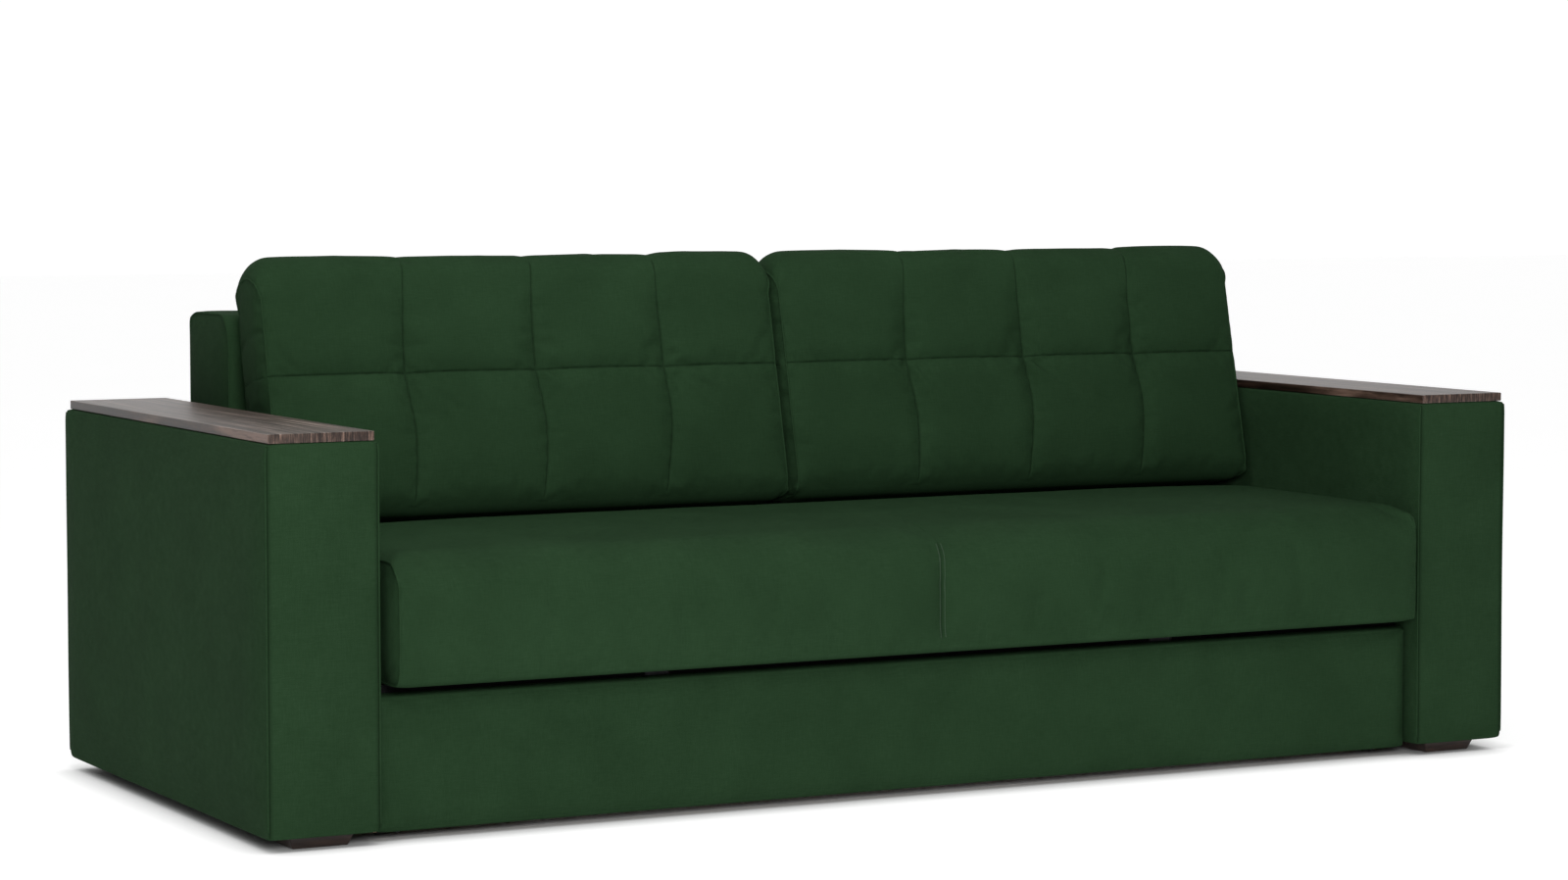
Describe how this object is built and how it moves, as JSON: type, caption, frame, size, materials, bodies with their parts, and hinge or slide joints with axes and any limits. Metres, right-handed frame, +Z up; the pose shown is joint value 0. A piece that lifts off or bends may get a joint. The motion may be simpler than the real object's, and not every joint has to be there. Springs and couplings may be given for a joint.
{
  "type": "sofa bed",
  "caption": "Wide box-armed fabric sofa with wooden arm tops and loose tufted cushions; the seat rolls forward and the back drops down behind it to make a double bed.",
  "frame": {"origin": "on the floor, at the middle of the closed sofa's footprint", "axes": "+X to the right arm as seen from the front, +Y to the rear, +Z up"},
  "size_m": [2.4, 1.026, 0.9253],
  "materials": {
    "green_fabric": "matte fine plain weave, deep green",
    "dark_laminate": "satin dark walnut laminate, grain along the depth",
    "dark_foot": "satin dark stained",
    "timber": "planed softwood, unfinished",
    "chipboard": "raw chipboard",
    "steel": "black zinc",
    "wheel_rubber": "matte",
    "zip_tape": "matte"
  },
  "bodies": {
    "sofa_base": {"arm_cover_left": "green_fabric", "arm_inner_board_left": "chipboard", "arm_outer_board_left": "chipboard", "arm_frame_left": "timber", "arm_top_left": "dark_laminate", "arm_foot_front_left": "dark_foot", "arm_foot_rear_left": "dark_foot", "hinge_plate_left": "steel", "stop_block_left": "timber", "roller_rail_left": "timber", "back_rest_left": "timber", "box_wall_left": "chipboard", "centre_foot_left": "dark_foot", "arm_cover_right": "green_fabric", "arm_inner_board_right": "chipboard", "arm_outer_board_right": "chipboard", "arm_frame_right": "timber", "arm_top_right": "dark_laminate", "arm_foot_front_right": "dark_foot", "arm_foot_rear_right": "dark_foot", "hinge_plate_right": "steel", "stop_block_right": "timber", "roller_rail_right": "timber", "back_rest_right": "timber", "box_wall_right": "chipboard", "centre_foot_right": "dark_foot", "cross_rail_front": "timber", "cross_rail_mid": "timber", "rear_rail": "timber", "box_floor_panel": "chipboard", "box_wall_front": "chipboard", "box_wall_rear": "chipboard"},
    "seat": {"seat_pad": "green_fabric", "seat_frame": "timber", "seat_slats": "timber", "apron_pad": "green_fabric", "apron_board": "chipboard", "apron_bracket_left": "steel", "wheel_fork_left": "steel", "roller_bracket_left": "steel", "apron_bracket_right": "steel", "wheel_fork_right": "steel", "roller_bracket_right": "steel"},
    "back": {"back_cover": "green_fabric", "back_bottom_board": "chipboard", "back_frame": "chipboard", "hinge_sleeve_left": "steel", "hinge_sleeve_right": "steel"},
    "cushion_body_left": {"cushion_left": "green_fabric", "cushion_zip_left": "zip_tape"},
    "front_wheel_body_left": {"front_wheel_left": "wheel_rubber"},
    "rear_roller_body_left": {"rear_roller_left": "wheel_rubber"},
    "cushion_body_right": {"cushion_right": "green_fabric", "cushion_zip_right": "zip_tape"},
    "front_wheel_body_right": {"front_wheel_right": "wheel_rubber"},
    "rear_roller_body_right": {"rear_roller_right": "wheel_rubber"}
  },
  "joints": [
    {"name": "seat_slide", "type": "slide", "parent": "sofa_base", "child": "seat", "axis": [0, -1, 0], "range_m": [0, 0.58]},
    {"name": "back_fold", "type": "hinge", "parent": "sofa_base", "child": "back", "pos_m": [0, 0.26, 0.275], "axis": [1, 0, 0], "range_deg": [0, 90]},
    {"name": "cushion_tilt_left", "type": "hinge", "parent": "seat", "child": "cushion_body_left", "pos_m": [-0.5, 0.07588, 0.53848], "axis": [1, 0, 0], "range_deg": [0, 103]},
    {"name": "front_wheel_roll_left", "type": "hinge", "parent": "seat", "child": "front_wheel_body_left", "pos_m": [-0.977, -0.38, 0.025], "axis": [1, 0, 0], "range_deg": [0, 1330]},
    {"name": "rear_roller_roll_left", "type": "hinge", "parent": "seat", "child": "rear_roller_body_left", "pos_m": [-0.99, 0.175, 0.227], "axis": [1, 0, 0], "range_deg": [0, 2078]},
    {"name": "cushion_tilt_right", "type": "hinge", "parent": "seat", "child": "cushion_body_right", "pos_m": [0.5, 0.07588, 0.53848], "axis": [1, 0, 0], "range_deg": [0, 103]},
    {"name": "front_wheel_roll_right", "type": "hinge", "parent": "seat", "child": "front_wheel_body_right", "pos_m": [0.977, -0.38, 0.025], "axis": [1, 0, 0], "range_deg": [0, 1330]},
    {"name": "rear_roller_roll_right", "type": "hinge", "parent": "seat", "child": "rear_roller_body_right", "pos_m": [0.99, 0.175, 0.227], "axis": [1, 0, 0], "range_deg": [0, 2078]}
  ],
  "couplings": [
    {"joint": "back_fold", "follows": "seat_slide", "rad_per_m": 2.7083},
    {"joint": "cushion_tilt_left", "follows": "seat_slide", "rad_per_m": 3.0995},
    {"joint": "front_wheel_roll_left", "follows": "seat_slide", "rad_per_m": 40},
    {"joint": "rear_roller_roll_left", "follows": "seat_slide", "rad_per_m": 62.5},
    {"joint": "cushion_tilt_right", "follows": "seat_slide", "rad_per_m": 3.0995},
    {"joint": "front_wheel_roll_right", "follows": "seat_slide", "rad_per_m": 40},
    {"joint": "rear_roller_roll_right", "follows": "seat_slide", "rad_per_m": 62.5}
  ]
}
